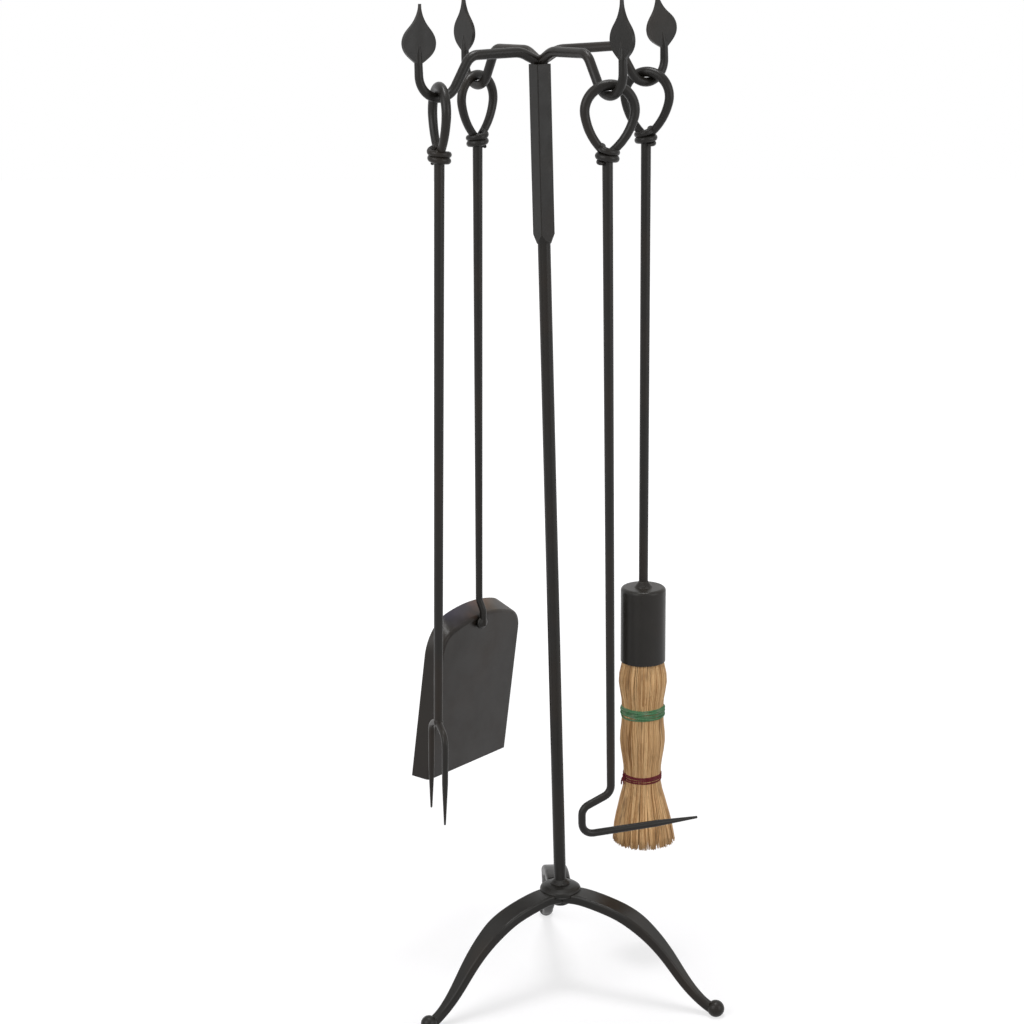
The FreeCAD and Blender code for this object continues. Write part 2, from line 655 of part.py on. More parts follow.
def straw_profile():
    """Half widths of the straw bundle from its head, inside the ferrule, to its spread end."""
    head = FERRULE_D / 2.0 - FERRULE_WALL - STRAW_GAP
    return [(head, FERRULE_TOP - FERRULE_EDGE - STRAW_GAP), (head, FERRULE_BOTTOM - STRAW_GAP),
            (STRAW_SHOULDER_D / 2.0, FERRULE_BOTTOM - 6.0),
            (STRAW_WAIST_D / 2.0, GREEN_Z + GREEN_H / 2.0),
            (STRAW_WAIST_D / 2.0, GREEN_Z - GREEN_H / 2.0),
            (STRAW_BULGE_D / 2.0, (GREEN_Z + MAROON_Z) / 2.0 + 6.0),
            (STRAW_TIE_D / 2.0, MAROON_Z + MAROON_H / 2.0),
            (STRAW_TIE_D / 2.0, MAROON_Z - MAROON_H / 2.0),
            (STRAW_END_D / 2.0, STRAW_LOW + 4.0),
            (STRAW_END_D / 2.0 - 5.0, STRAW_LOW)]


def wire_zone():
    """Height of the first turn of the inner wire, and the radius of its groove."""
    return FERRULE_BOTTOM + 0.6 * FERRULE_LENGTH, FERRULE_D / 2.0 - FERRULE_WALL - STRAW_GAP - WIRE_D


def make_straw():
    sides = straw_profile()
    bundle = revolved([(0, sides[0][1])] + sides + [(0, STRAW_LOW)])
    bore = cylinder(BROOM_ROD_LOW_D / 2.0 + STRAW_GAP, FERRULE_TOP - TANG_LENGTH - STRAW_GAP, FERRULE_TOP)
    start, groove = wire_zone()
    channel = cylinder(FERRULE_D, start - 0.3, start + WIRE_TURNS * WIRE_D + 0.3)
    channel = channel.cut(cylinder(groove - 0.1, start - 2.0, start + WIRE_TURNS * WIRE_D + 2.0))
    return place("broom", bundle.cut(bore).cut(channel))


def make_inner_wire():
    start, groove = wire_zone()
    turns = []
    for index in range(WIRE_TURNS):
        height = start + (index + 0.5) * WIRE_D
        turns.append(Part.makeTorus(groove + WIRE_D / 2.0, WIRE_D / 2.0 - 0.02, V(0, 0, height)))
    return place("broom", Part.makeCompound(turns))


def make_twine(centre, height, inner_d, thick):
    """Band of twine round the straw, as one ring with rounded edges."""
    inner = inner_d / 2.0 + 0.1
    half = height / 2.0
    edge = thick * 0.45
    ring = revolved([(inner, centre - half), (inner + thick - edge, centre - half),
                     (inner + thick, centre - half + edge), (inner + thick, centre + half - edge),
                     (inner + thick - edge, centre + half), (inner, centre + half)])
    return place("broom", ring)


# ---------------------------------------------------------------- build

def main():
    os.makedirs("parts", exist_ok=True)
    legs = [make_leg(name) for name in FOOT_AZIMUTH]
    for name, leg in zip(FOOT_AZIMUTH, legs):
        save("leg_" + name, leg)
    hub = make_hub()
    save("hub_disc", hub)
    save("leg_root_weld", make_root_weld(legs))
    save("post", make_post())
    save("post_weld", make_post_weld(hub))
    save("crown_block", make_crown())

    half = CROWN_SIDE / 2.0 + 3.0
    prism = Part.makeBox(2 * half, 2 * half, 60.0, V(-half, -half, CROWN_TOP - 60.0))
    prism = turn(prism, ARM_AZIMUTH["broom"])
    hooks = {tool: make_hook(tool, prism) for tool in ARM_AZIMUTH}
    for tool, hook in hooks.items():
        save("hook_" + tool, hook)
    save("crown_weld", make_crown_weld(list(hooks.values())))

    bars = {"fork_handle": make_fork_handle(), "shovel_handle": make_shovel_handle(),
            "poker_bar": make_poker(), "broom_handle": make_broom_handle()}
    for name, handle in bars.items():
        tool = name.split("_")[0]
        save(name, handle)
        save(tool + "_wrap", make_wrap(tool, handle))

    save("fork_tines", make_fork_head())
    pan = make_pan()
    save("shovel_pan", pan)
    save("shovel_weld", make_pan_weld(bars["shovel_handle"], pan))
    save("broom_ferrule", make_ferrule())
    save("broom_ferrule_weld", make_ferrule_weld())
    save("broom_straw", make_straw())
    save("broom_inner_wire", make_inner_wire())
    save("broom_twine_green", make_twine(GREEN_Z, GREEN_H, STRAW_WAIST_D, GREEN_THICK))
    save("broom_twine_maroon", make_twine(MAROON_Z, MAROON_H, STRAW_TIE_D, MAROON_THICK))


main()
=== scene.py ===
"""Fireplace tool set: finishes, the corn broom's straw and twines, and a plain studio stage."""

import json
import math
import random

import bpy
from bpy.props import FloatProperty, FloatVectorProperty, IntProperty, PointerProperty
from mathutils import Matrix, Vector


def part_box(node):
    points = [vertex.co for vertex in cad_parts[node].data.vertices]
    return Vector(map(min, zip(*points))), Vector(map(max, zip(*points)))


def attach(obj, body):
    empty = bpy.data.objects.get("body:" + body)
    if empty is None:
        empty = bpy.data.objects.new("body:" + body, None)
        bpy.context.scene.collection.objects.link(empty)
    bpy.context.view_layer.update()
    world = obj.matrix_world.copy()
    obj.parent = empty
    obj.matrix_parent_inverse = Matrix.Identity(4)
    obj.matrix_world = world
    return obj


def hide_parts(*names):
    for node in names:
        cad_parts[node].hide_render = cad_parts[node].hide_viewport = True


bl_info = {
    "name": "Fireplace tool set",
    "version": (1, 0, 0),
    "blender": (4, 5, 0),
    "location": "View3D > Sidebar > Hearth",
    "description": "Finishes and soft parts for a forged set of fireplace tools",
    "category": "Object",
}

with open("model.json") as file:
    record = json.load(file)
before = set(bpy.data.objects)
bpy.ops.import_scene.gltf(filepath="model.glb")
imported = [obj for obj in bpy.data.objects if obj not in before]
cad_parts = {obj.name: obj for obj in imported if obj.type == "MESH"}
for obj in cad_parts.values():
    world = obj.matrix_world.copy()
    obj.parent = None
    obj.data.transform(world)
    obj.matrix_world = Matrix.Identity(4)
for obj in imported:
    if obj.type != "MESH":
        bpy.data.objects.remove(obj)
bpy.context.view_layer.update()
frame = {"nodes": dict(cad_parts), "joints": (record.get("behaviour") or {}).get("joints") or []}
MM = 0.001
FULL_TURN = 2.0 * math.pi
UP = Vector((0.0, 0.0, 1.0))

CAMERA_PLACE = (0.0, -1.73622, 0.87010)
CAMERA_YAW = -0.0239
CAMERA_PITCH = 0.25804
CAMERA_ROLL = -0.00314
SENSOR_WIDTH = 36.0

TOOLS = ("fork", "shovel", "poker", "broom")

# Fixed colours of the pieces that have no setting of their own.
SHEET_GREY = (0.0150, 0.0120, 0.0095)
SHEET_WORN = (0.085, 0.080, 0.070)
FERRULE_GREY = (0.0125, 0.0110, 0.0092)
FERRULE_WORN = (0.060, 0.056, 0.048)
WIRE_GREY = (0.30, 0.29, 0.27)
WIRE_BRIGHT = (0.5, 0.49, 0.47)
WIRE_RUST = (0.20, 0.15, 0.10)
STRAW_SCORCHED = (0.16, 0.062, 0.017)
# Painted shade: colours of the straw's core, a dark stand-in for the shade deep inside the bundle.
CORE_SHADE_DARK = (0.13, 0.058, 0.018)
CORE_SHADE_LIGHT = (0.36, 0.185, 0.066)
GREEN_FADED = (0.33, 0.37, 0.27)
MAROON_FADED = (0.23, 0.075, 0.07)
FLOOR_GREY = (0.40, 0.395, 0.405)
WHITE = (1.0, 1.0, 1.0)

# Temper colours along the pan's back wall, by share of its width: blue, brown, straw yellow.
TEMPER_STOPS = (
    (0.0, (0.022, 0.019, 0.027)), (0.34, (0.036, 0.034, 0.060)), (0.50, (0.070, 0.058, 0.072)),
    (0.64, (0.150, 0.066, 0.030)), (0.80, (0.120, 0.078, 0.032)), (1.0, (0.050, 0.044, 0.026)))
WELD_TO_FOLD = 9.0 * MM
TEMPER_RISE = 12.0 * MM
TEMPER_WANDER = 14.0 * MM

# How the straw is laid.
STRAW_SEED = 41
TUFT_WAVES = 9
STALK_STEPS = 22
STALK_SIDES = 5
FILL_STEPS = 6
CORE_STEPS = 40
CORE_SIDES = 96
INSIDE_FERRULE = 3.0 * MM
FERRULE_WALL_AND_GAP = 1.7 * MM
END_SHIFT = 1.6 * MM

# Turns of twine: height from the middle of the band in mm, slant in mm, and where the slant starts.
GREEN_TURNS = ((-4.1, 0.5, 0.2), (-2.2, -0.7, 1.4), (-0.3, 0.6, 2.6), (1.6, -0.6, 3.5), (3.4, 0.5, 4.9))
GREEN_CROSSINGS = ((0.4, 2.8, 5.9), (-0.9, 2.6, 2.4), (0.9, 1.8, 4.2))
MAROON_TURNS = ((-2.4, 0.25, 0.4), (-0.8, -0.4, 2.2), (0.8, 0.35, 4.1), (2.3, -0.2, 5.2))
TWINE_STEPS = 150
GREEN_SEED = 7
KNOT_ANGLE = math.radians(203.0)

# Tail of the bar round the neck of each tool, with radii in mm by share of its length.
WRAP_TURNS = 2.15
WRAP_STEPS = 110
WRAP_RISE = 4.2 * MM
WRAP_DROP = 9.8 * MM
WRAP_DIP = ((0.0, 0.0), (0.12, 2.6))
WRAP_REACH = ((0.0, 4.0), (0.10, 6.9), (0.6, 6.3), (1.0, 6.0))
WRAP_RADIUS = ((0.0, 2.9), (0.12, 2.6), (0.9, 2.2), (1.0, 1.2))

# Each light: size, place and the point it aims at, in metres.
LIGHTS = {
    "key_light": ((1.6, 1.8), (-1.7, -1.6, 1.7), (0.0, 0.0, 0.40)),
    "fill_light": ((1.4, 1.6), (1.9, -1.2, 1.1), (0.0, 0.0, 0.40)),
    "top_light": ((0.7, 0.7), (0.0, 0.05, 2.6), (0.0, 0.0, 0.30)),
}

STEEL_NODES = (
    "leg_right", "leg_back", "leg_left", "hub_disc", "post", "crown_block",
    "hook_fork", "hook_shovel", "hook_poker", "hook_broom",
    "fork_handle", "fork_wrap", "fork_tines", "shovel_handle", "shovel_wrap",
    "poker_bar", "poker_wrap", "broom_handle", "broom_wrap",
)
WELD_NODES = ("leg_root_weld", "post_weld", "crown_weld", "shovel_weld", "broom_ferrule_weld")


# ---------------------------------------------------------------- settings

class HearthFinish(bpy.types.PropertyGroup):
    """Colours of the metal, the straw and the twines."""

    steel: FloatVectorProperty(
        name="Steel", description="Blackened, waxed bar", subtype="COLOR",
        default=(0.0085, 0.0075, 0.0062), min=0.0, max=1.0)
    steel_worn: FloatVectorProperty(
        name="Worn steel", description="Edges and high spots rubbed lighter", subtype="COLOR",
        default=(0.040, 0.036, 0.031), min=0.0, max=1.0)
    scale_brown: FloatVectorProperty(
        name="Brown scale", description="Faint brown left by the fire", subtype="COLOR",
        default=(0.022, 0.0135, 0.0075), min=0.0, max=1.0)
    straw_light: FloatVectorProperty(
        name="Straw, light", description="Dry pale stalks", subtype="COLOR",
        default=(0.90, 0.60, 0.30), min=0.0, max=1.0)
    straw_dark: FloatVectorProperty(
        name="Straw, dark", description="Browner stalks", subtype="COLOR",
        default=(0.40, 0.195, 0.066), min=0.0, max=1.0)
    green: FloatVectorProperty(
        name="Green twine", description="Upper binding", subtype="COLOR",
        default=(0.130, 0.33, 0.160), min=0.0, max=1.0)
    maroon: FloatVectorProperty(
        name="Maroon twine", description="Lower binding", subtype="COLOR",
        default=(0.205, 0.026, 0.036), min=0.0, max=1.0)


class HearthBroom(bpy.types.PropertyGroup):
    """Sizes of the straw bundle and its bindings."""

    stalks: IntProperty(
        name="Stalks", description="Stalks in the two outer layers", default=640, min=50)
    fill_stalks: IntProperty(
        name="Filling", description="Stalks that fill the spread end", default=760, min=0)
    stalk_width: FloatProperty(
        name="Stalk width", description="Diameter of one stalk", default=1.05 * MM,
        unit="LENGTH", min=0.1 * MM)
    shoulder: FloatProperty(
        name="Shoulder", description="Radius just under the ferrule", default=20.1 * MM, unit="LENGTH")
    waist: FloatProperty(
        name="Waist", description="Radius under the green twine", default=17.3 * MM, unit="LENGTH")
    belly: FloatProperty(
        name="Belly", description="Radius between the twines", default=18.9 * MM, unit="LENGTH")
    tie: FloatProperty(
        name="Tie", description="Radius under the maroon twine", default=15.6 * MM, unit="LENGTH")
    spread: FloatProperty(
        name="Spread", description="Radius of the spread end", default=26.6 * MM, unit="LENGTH")
    twine: FloatProperty(
        name="Twine", description="Diameter of one strand of twine", default=1.8 * MM, unit="LENGTH")


class HearthStage(bpy.types.PropertyGroup):
    """Camera and studio light."""

    lens: FloatProperty(
        name="Lens", description="Focal length on a 36 mm sensor", default=79.1, unit="CAMERA")
    floor_size: FloatProperty(
        name="Floor", description="Side of the floor", default=12.0, unit="LENGTH")
    key_power: FloatProperty(
        name="Key light", description="Large soft light on the left", default=30.0, unit="POWER")
    fill_power: FloatProperty(
        name="Fill light", description="Soft light on the right", default=16.0, unit="POWER")
    top_power: FloatProperty(
        name="Top light", description="Soft light overhead", default=26.0, unit="POWER")
    ambient: FloatProperty(
        name="Ambient", description="Strength of the surrounding light", default=0.30, min=0.0)


# ---------------------------------------------------------------- node helpers

class Graph:
    """Adds nodes to one tree and links their sockets."""

    def __init__(self, tree):
        self.tree = tree
        self.tree.nodes.clear()

    def add(self, kind, values=None, **settings):
        node = self.tree.nodes.new(kind)
        for name, value in settings.items():
            setattr(node, name, value)
        for name, value in (values or {}).items():
            self.put(node.inputs[name], value)
        return node

    def put(self, socket, value):
        if isinstance(value, bpy.types.NodeSocket):
            self.tree.links.new(value, socket)
        elif socket.type == "RGBA" and len(value) == 3:
            socket.default_value = (*value, 1.0)
        else:
            socket.default_value = value

    def noise(self, place, scale, detail=4.0, rough=0.55):
        node = self.add("ShaderNodeTexNoise", {
            "Vector": place, "Scale": scale, "Detail": detail, "Roughness": rough})
        return node.outputs["Fac"]

    def stretch(self, place, scale):
        node = self.add("ShaderNodeMapping", {"Vector": place, "Scale": scale})
        return node.outputs["Vector"]

    def math(self, operation, first, second=0.0, clamp=False):
        node = self.add("ShaderNodeMath", operation=operation, use_clamp=clamp)
        self.put(node.inputs[0], first)
        self.put(node.inputs[1], second)
        return node.outputs[0]

    def span(self, value, low, high, to_low=0.0, to_high=1.0):
        node = self.add("ShaderNodeMapRange", {
            "Value": value, "From Min": low, "From Max": high, "To Min": to_low, "To Max": to_high})
        return node.outputs["Result"]

    def mix(self, share, first, second):
        node = self.add("ShaderNodeMix", data_type="RGBA")
        self.put(node.inputs[0], share)
        self.put(node.inputs[6], first)
        self.put(node.inputs[7], second)
        return node.outputs[2]

    def bump(self, height, strength, distance):
        values = {"Height": height, "Strength": strength, "Distance": distance}
        return self.add("ShaderNodeBump", values).outputs["Normal"]


def new_group(name, inputs, outputs):
    """Empty shader group with its sockets; returns the tree, its graph and both end nodes."""
    tree = bpy.data.node_groups.new(name, "ShaderNodeTree")
    for label, kind, default in inputs:
        socket = tree.interface.new_socket(label, in_out="INPUT", socket_type=kind)
        socket.default_value = default
    for label, kind in outputs:
        tree.interface.new_socket(label, in_out="OUTPUT", socket_type=kind)
    graph = Graph(tree)
    return tree, graph, graph.add("NodeGroupInput"), graph.add("NodeGroupOutput")


def forged_surface():
    """Group: hammered, scaled and rubbed surface, as masks and a height."""
    name = "Forged surface"
    if name in bpy.data.node_groups:
        return bpy.data.node_groups[name]
    inputs = [("Dent Size", "NodeSocketFloat", 90.0), ("Grain Size", "NodeSocketFloat", 900.0),
              ("Edge Wear", "NodeSocketFloat", 1.0), ("Edge Width", "NodeSocketFloat", 0.0012)]
    outputs = [("Worn", "NodeSocketFloat"), ("Patches", "NodeSocketFloat"),
               ("Roughness", "NodeSocketFloat"), ("Height", "NodeSocketFloat")]
    tree, graph, source, sink = new_group(name, inputs, outputs)
    place = graph.add("ShaderNodeTexCoord").outputs["Object"]
    dents = graph.noise(place, source.outputs["Dent Size"], 2.0)
    grain = graph.noise(place, source.outputs["Grain Size"], 3.0, 0.7)
    patches = graph.span(graph.noise(place, 14.0, 3.0), 0.48, 0.70)
    bevel = graph.add("ShaderNodeBevel", {"Radius": source.outputs["Edge Width"]}, samples=4)
    flat = graph.add("ShaderNodeNewGeometry").outputs["Normal"]
    turned = graph.add("ShaderNodeVectorMath", operation="DOT_PRODUCT")
    graph.put(turned.inputs[0], bevel.outputs["Normal"])
    graph.put(turned.inputs[1], flat)
    edge = graph.span(turned.outputs["Value"], 0.995, 0.90)
    rubbed = graph.span(graph.noise(place, 220.0, 3.0), 0.40, 0.62)
    worn = graph.math("MULTIPLY", graph.math("MULTIPLY", edge, rubbed), source.outputs["Edge Wear"], True)
    rough = graph.span(graph.math("ADD", graph.math("MULTIPLY", dents, 0.6),
                                  graph.math("MULTIPLY", grain, 0.4)), 0.3, 0.7, 0.30, 0.46)
    height = graph.math("ADD", graph.math("MULTIPLY", dents, 0.75), graph.math("MULTIPLY", grain, 0.25))
    for label, value in (("Worn", worn), ("Patches", patches), ("Roughness", rough), ("Height", height)):
        graph.put(sink.inputs[label], value)
    return tree


def new_material(name):
    made = bpy.data.materials.new(name)
    made.use_nodes = True
    graph = Graph(made.node_tree)
    out = graph.add("ShaderNodeOutputMaterial")
    skin = graph.add("ShaderNodeBsdfPrincipled")
    graph.put(out.inputs["Surface"], skin.outputs["BSDF"])
    return made, graph, skin


def metal_material(name, base, worn, brown, dent_size, grain_size, wear, bump, tint=None):
    """Blackened steel. tint changes the base colour before the wear goes on."""
    made, graph, skin = new_material(name)
    surface = graph.add("ShaderNodeGroup")
    surface.node_tree = forged_surface()
    graph.put(surface.inputs["Dent Size"], dent_size)
    graph.put(surface.inputs["Grain Size"], grain_size)
    graph.put(surface.inputs["Edge Wear"], wear)
    place = graph.add("ShaderNodeTexCoord").outputs["Object"]
    mottle = graph.span(graph.noise(place, 60.0, 4.0), 0.3, 0.7, 0.0, 0.55)
    colour = graph.mix(mottle, base, [share * 1.55 for share in base])
    colour = graph.mix(graph.math("MULTIPLY", surface.outputs["Patches"], 0.55), colour, brown)
    if tint is not None:
        colour = tint(graph, place, colour)
    colour = graph.mix(surface.outputs["Worn"], colour, worn)
    graph.put(skin.inputs["Base Color"], colour)
    graph.put(skin.inputs["Roughness"], surface.outputs["Roughness"])
    skin.inputs["Metallic"].default_value = 0.0
    skin.inputs["Specular IOR Level"].default_value = 0.26
    graph.put(skin.inputs["Normal"], graph.bump(surface.outputs["Height"], bump, 0.4 * MM))
    return made


def heat_tint(graph, place, colour):
    """Temper colours along the back wall of the pan: blue, then brown, then straw yellow."""
    low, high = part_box("shovel_pan")
    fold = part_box("shovel_weld")[0].z + WELD_TO_FOLD
    split = graph.add("ShaderNodeSeparateXYZ", {"Vector": place})
    wander = graph.math("MULTIPLY", graph.math("SUBTRACT", graph.noise(place, 45.0, 3.0), 0.5), TEMPER_WANDER)
    height = graph.math("ADD", split.outputs["Z"], wander)
    band = graph.span(height, fold, fold + TEMPER_RISE)
    along = graph.math("ADD", split.outputs["X"], wander)
    ramp = graph.add("ShaderNodeValToRGB", {"Fac": graph.span(along, low.x, high.x)})
    ramp.color_ramp.elements[0].position = TEMPER_STOPS[0][0]
    ramp.color_ramp.elements[1].position = TEMPER_STOPS[-1][0]
    for position, _ in TEMPER_STOPS[1:-1]:
        ramp.color_ramp.elements.new(position)
    for element, (_, shade) in zip(ramp.color_ramp.elements, TEMPER_STOPS):
        element.color = (*shade, 1.0)
    return graph.mix(graph.math("MULTIPLY", band, 0.85), colour, ramp.outputs["Color"])


def straw_material(settings):
    made, graph, skin = new_material("Broom corn")
    place = graph.add("ShaderNodeTexCoord").outputs["Object"]
    each = graph.add("ShaderNodeNewGeometry").outputs["Random Per Island"]
    fibres = graph.noise(graph.stretch(place, (1800.0, 1800.0, 35.0)), 1.0, 3.0, 0.6)
    blotch = graph.noise(graph.stretch(place, (120.0, 120.0, 30.0)), 1.0, 3.0)
    tone = graph.math("ADD", graph.math("MULTIPLY", each, 0.55), graph.math("MULTIPLY", fibres, 0.45))
    colour = graph.mix(graph.span(tone, 0.22, 0.74), settings.straw_dark, settings.straw_light)
    scorched = graph.span(graph.math("ADD", blotch, graph.math("MULTIPLY", each, 0.30)), 0.74, 0.92)
    colour = graph.mix(graph.math("MULTIPLY", scorched, 0.7), colour, STRAW_SCORCHED)
    graph.put(skin.inputs["Base Color"], colour)
    graph.put(skin.inputs["Roughness"], graph.span(fibres, 0.3, 0.7, 0.46, 0.66))
    skin.inputs["Specular IOR Level"].default_value = 0.35
    graph.put(skin.inputs["Normal"], graph.bump(fibres, 0.45, 0.15 * MM))
    return made


def core_material():
    """Painted shade: a dark stand-in for the stalks deep in the bundle, where they lie in shade."""
    made, graph, skin = new_material("Broom corn, painted shade")
    place = graph.add("ShaderNodeTexCoord").outputs["Object"]
    streak = graph.noise(graph.stretch(place, (900.0, 900.0, 20.0)), 1.0, 3.0)
    colour = graph.mix(graph.span(streak, 0.35, 0.65), CORE_SHADE_DARK, CORE_SHADE_LIGHT)
    graph.put(skin.inputs["Base Color"], colour)
    graph.put(skin.inputs["Roughness"], graph.span(streak, 0.3, 0.7, 0.7, 0.9))
    graph.put(skin.inputs["Normal"], graph.bump(streak, 0.6, 0.3 * MM))
    return made


def twine_material(name, colour, faded):
    made, graph, skin = new_material(name)
    place = graph.add("ShaderNodeTexCoord").outputs["Object"]
    each = graph.add("ShaderNodeNewGeometry").outputs["Random Per Island"]
    fuzz = graph.noise(place, 2600.0, 4.0, 0.7)
    fade = graph.span(graph.noise(place, 160.0, 3.0), 0.42, 0.72)
    shade = graph.mix(graph.span(fuzz, 0.3, 0.7), [share * 0.6 for share in colour], colour)
    shade = graph.mix(graph.math("MULTIPLY", fade, graph.span(each, 0.0, 1.0, 0.25, 0.85)), shade, faded)
    graph.put(skin.inputs["Base Color"], shade)
    graph.put(skin.inputs["Roughness"], graph.span(fuzz, 0.3, 0.7, 0.68, 0.92))
    skin.inputs["Specular IOR Level"].default_value = 0.25
    graph.put(skin.inputs["Normal"], graph.bump(fuzz, 0.5, 0.12 * MM))
    return made


def paint(names, material):
    for name in names:
        piece = frame["nodes"][name]
        if not piece.material_slots:
            piece.data.materials.append(material)
        for slot in piece.material_slots:
            slot.material = material


# ---------------------------------------------------------------- mesh helpers

class TubeMesh:
    """Collects round tubes along paths into one mesh."""

    def __init__(self):
        self.points = []
        self.faces = []

    def add(self, path, radii, sides, closed=False):
        """One tube; path is a list of points and radii gives its radius at each."""
        start = len(self.points)
        count = len(path)
        side_way = None
        for i, here in enumerate(path):
            after = path[(i + 1) % count] if closed else path[min(i + 1, count - 1)]
            before = path[i - 1] if closed else path[max(i - 1, 0)]
            along = (after - before).normalized()
            if side_way is None:
                side_way = along.orthogonal().normalized()
            side_way = (side_way - along * side_way.dot(along)).normalized()
            other = along.cross(side_way)
            for k in range(sides):
                angle = FULL_TURN * k / sides
                ring = side_way * math.cos(angle) + other * math.sin(angle)
                self.points.append(here + ring * radii[i])
        for i in range(count if closed else count - 1):
            low = start + i * sides
            high = start + ((i + 1) % count) * sides
            for k in range(sides):
                after = (k + 1) % sides
                self.faces.append((low + k, low + after, high + after, high + k))
        if not closed:
            self.faces.append(tuple(start + k for k in reversed(range(sides))))
            self.faces.append(tuple(start + (count - 1) * sides + k for k in range(sides)))

    def build(self, name, material):
        mesh = bpy.data.meshes.new(name)
        mesh.from_pydata(self.points, [], self.faces)
        mesh.validate()
        mesh.materials.append(material)
        for face in mesh.polygons:
            face.use_smooth = len(face.vertices) == 4
        piece = bpy.data.objects.new(name, mesh)
        bpy.context.scene.collection.objects.link(piece)
        return piece


def smooth_between(knots, at):
    """Value on a smooth curve through (position, value) knots, which run in order."""
    last = len(knots) - 1
    if at <= knots[0][0]:
        return knots[0][1]
    if at >= knots[last][0]:
        return knots[last][1]
    rises = [(high[1] - low[1]) / (high[0] - low[0]) for low, high in zip(knots, knots[1:])]
    i = next(k for k in range(last) if at <= knots[k + 1][0])
    leave = rises[i] if i == 0 else 0.5 * (rises[i - 1] + rises[i]) * (rises[i - 1] * rises[i] > 0.0)
    arrive = rises[i] if i == last - 1 else 0.5 * (rises[i] + rises[i + 1]) * (rises[i] * rises[i + 1] > 0.0)
    (low, start), (high, end) = knots[i], knots[i + 1]
    run = high - low
    t = (at - low) / run
    return (start * (1.0 + 2.0 * t) * (1.0 - t) ** 2 + end * t * t * (3.0 - 2.0 * t)
            + run * (leave * t * (1.0 - t) ** 2 - arrive * t * t * (1.0 - t)))


class BroomLine:
    """The leaning axis of the broom and the outline of its straw, from the frame's boxes."""

    def __init__(self, settings):
        self.settings = settings
        self.top = self.middle("broom_ferrule")
        low_ring = self.middle("broom_twine_maroon")
        self.way = (self.top - low_ring).normalized()
        self.ferrule_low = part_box("broom_ferrule")[0].z
        self.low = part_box("broom_straw")[0].z
        self.green = self.heights("broom_twine_green")
        self.maroon = self.heights("broom_twine_maroon")
        side = Vector((1.0, 0.0, 0.0))
        self.right = (side - self.way * side.dot(self.way)).normalized()
        self.back = self.way.cross(self.right)
        green_mid = sum(self.green) / 2.0
        maroon_mid = sum(self.maroon) / 2.0
        flare = settings.spread - settings.tie
        inside = (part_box("broom_ferrule")[1].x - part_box("broom_ferrule")[0].x) / 2.0 - FERRULE_WALL_AND_GAP
        self.knots = [
            (self.low, settings.spread), (self.low + 16.0 * MM, settings.tie + 0.80 * flare),
            (self.low + 36.0 * MM, settings.tie + 0.36 * flare),
            (maroon_mid - 4.0 * MM, settings.tie), (maroon_mid + 4.0 * MM, settings.tie),
            ((green_mid + maroon_mid) / 2.0 + 4.0 * MM, settings.belly),
            (green_mid - 5.0 * MM, settings.waist), (green_mid + 5.0 * MM, settings.waist),
            (self.ferrule_low - 17.0 * MM, settings.shoulder),
            (self.ferrule_low - 0.3 * MM, inside), (self.ferrule_low + 4.0 * MM, inside - 0.6 * MM)]

    @staticmethod
    def middle(node):
        low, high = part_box(node)
        return (low + high) / 2.0

    @staticmethod
    def heights(node):
        low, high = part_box(node)
        return low.z, high.z

    def radius(self, height):
        return smooth_between(self.knots, height)

    def point(self, height, angle, radius):
        on_axis = self.top + self.way * ((height - self.top.z) / self.way.z)
        flare = max(0.0, self.maroon[0] - height) / (self.maroon[0] - self.low)
        on_axis = on_axis + self.right * (END_SHIFT * flare * flare)
        return on_axis + self.right * (radius * math.cos(angle)) + self.back * (radius * math.sin(angle))


def lay_outer_stalks(tubes, line, settings, rng, top):
    """Two layers of stalks round the whole bundle, gathered in tufts by slow waves."""
    half = settings.stalk_width / 2.0
    waves = [(rng.randint(6, 34), rng.uniform(0.16, 0.36), rng.uniform(0.0, 6.28), rng.uniform(-6.0, 6.0))
             for _ in range(TUFT_WAVES)]
    for i in range(settings.stalks):
        layer = i % 2
        angle = FULL_TURN * (i + rng.uniform(-0.4, 0.4)) / settings.stalks
        drift = 0.16 * math.sin(2.0 * angle + 1.0) + rng.gauss(0.0, 0.055)
        sway = rng.gauss(0.0, 0.022)
        phase = rng.uniform(0.0, FULL_TURN)
        low = line.low + abs(rng.gauss(0.0, 1.3 * MM))
        width = half * rng.uniform(0.7, 1.25)
        path = []
        radii = []
        for step in range(STALK_STEPS + 1):
            share = step / STALK_STEPS
            height = top + (low - top) * share
            turn = angle + drift * share + sway * math.sin(phase + 5.0 * share)
            for count, pull, start, climb in waves:
                turn += pull / count * math.sin(count * angle + start + climb * share)
            depth = 1.0 - 0.05 * layer - 0.012 * math.sin(phase * 3.0 + 9.0 * share)
            path.append(line.point(height, turn, line.radius(height) * depth - half))
            radii.append(width * (1.0 - 0.35 * max(0.0, share - 0.85) / 0.15))
        tubes.add(path, radii, STALK_SIDES)


def fill_spread_end(tubes, line, settings, rng):
    """Straight stalks inside the spread end, from the maroon twine down."""
    half = settings.stalk_width / 2.0
    high = line.maroon[0] - 4.0 * MM
    for _ in range(settings.fill_stalks):
        angle = rng.uniform(0.0, FULL_TURN)
        share_out = math.sqrt(rng.uniform(0.0, 0.88))
        low = line.low + abs(rng.gauss(0.0, 1.6 * MM))
        width = half * rng.uniform(0.8, 1.25)
        path = []
        for step in range(FILL_STEPS + 1):
            height = high + (low - high) * step / FILL_STEPS
            path.append(line.point(height, angle, line.radius(height) * share_out))
        tubes.add(path, [width] * FILL_STEPS + [width * 0.5], STALK_SIDES)


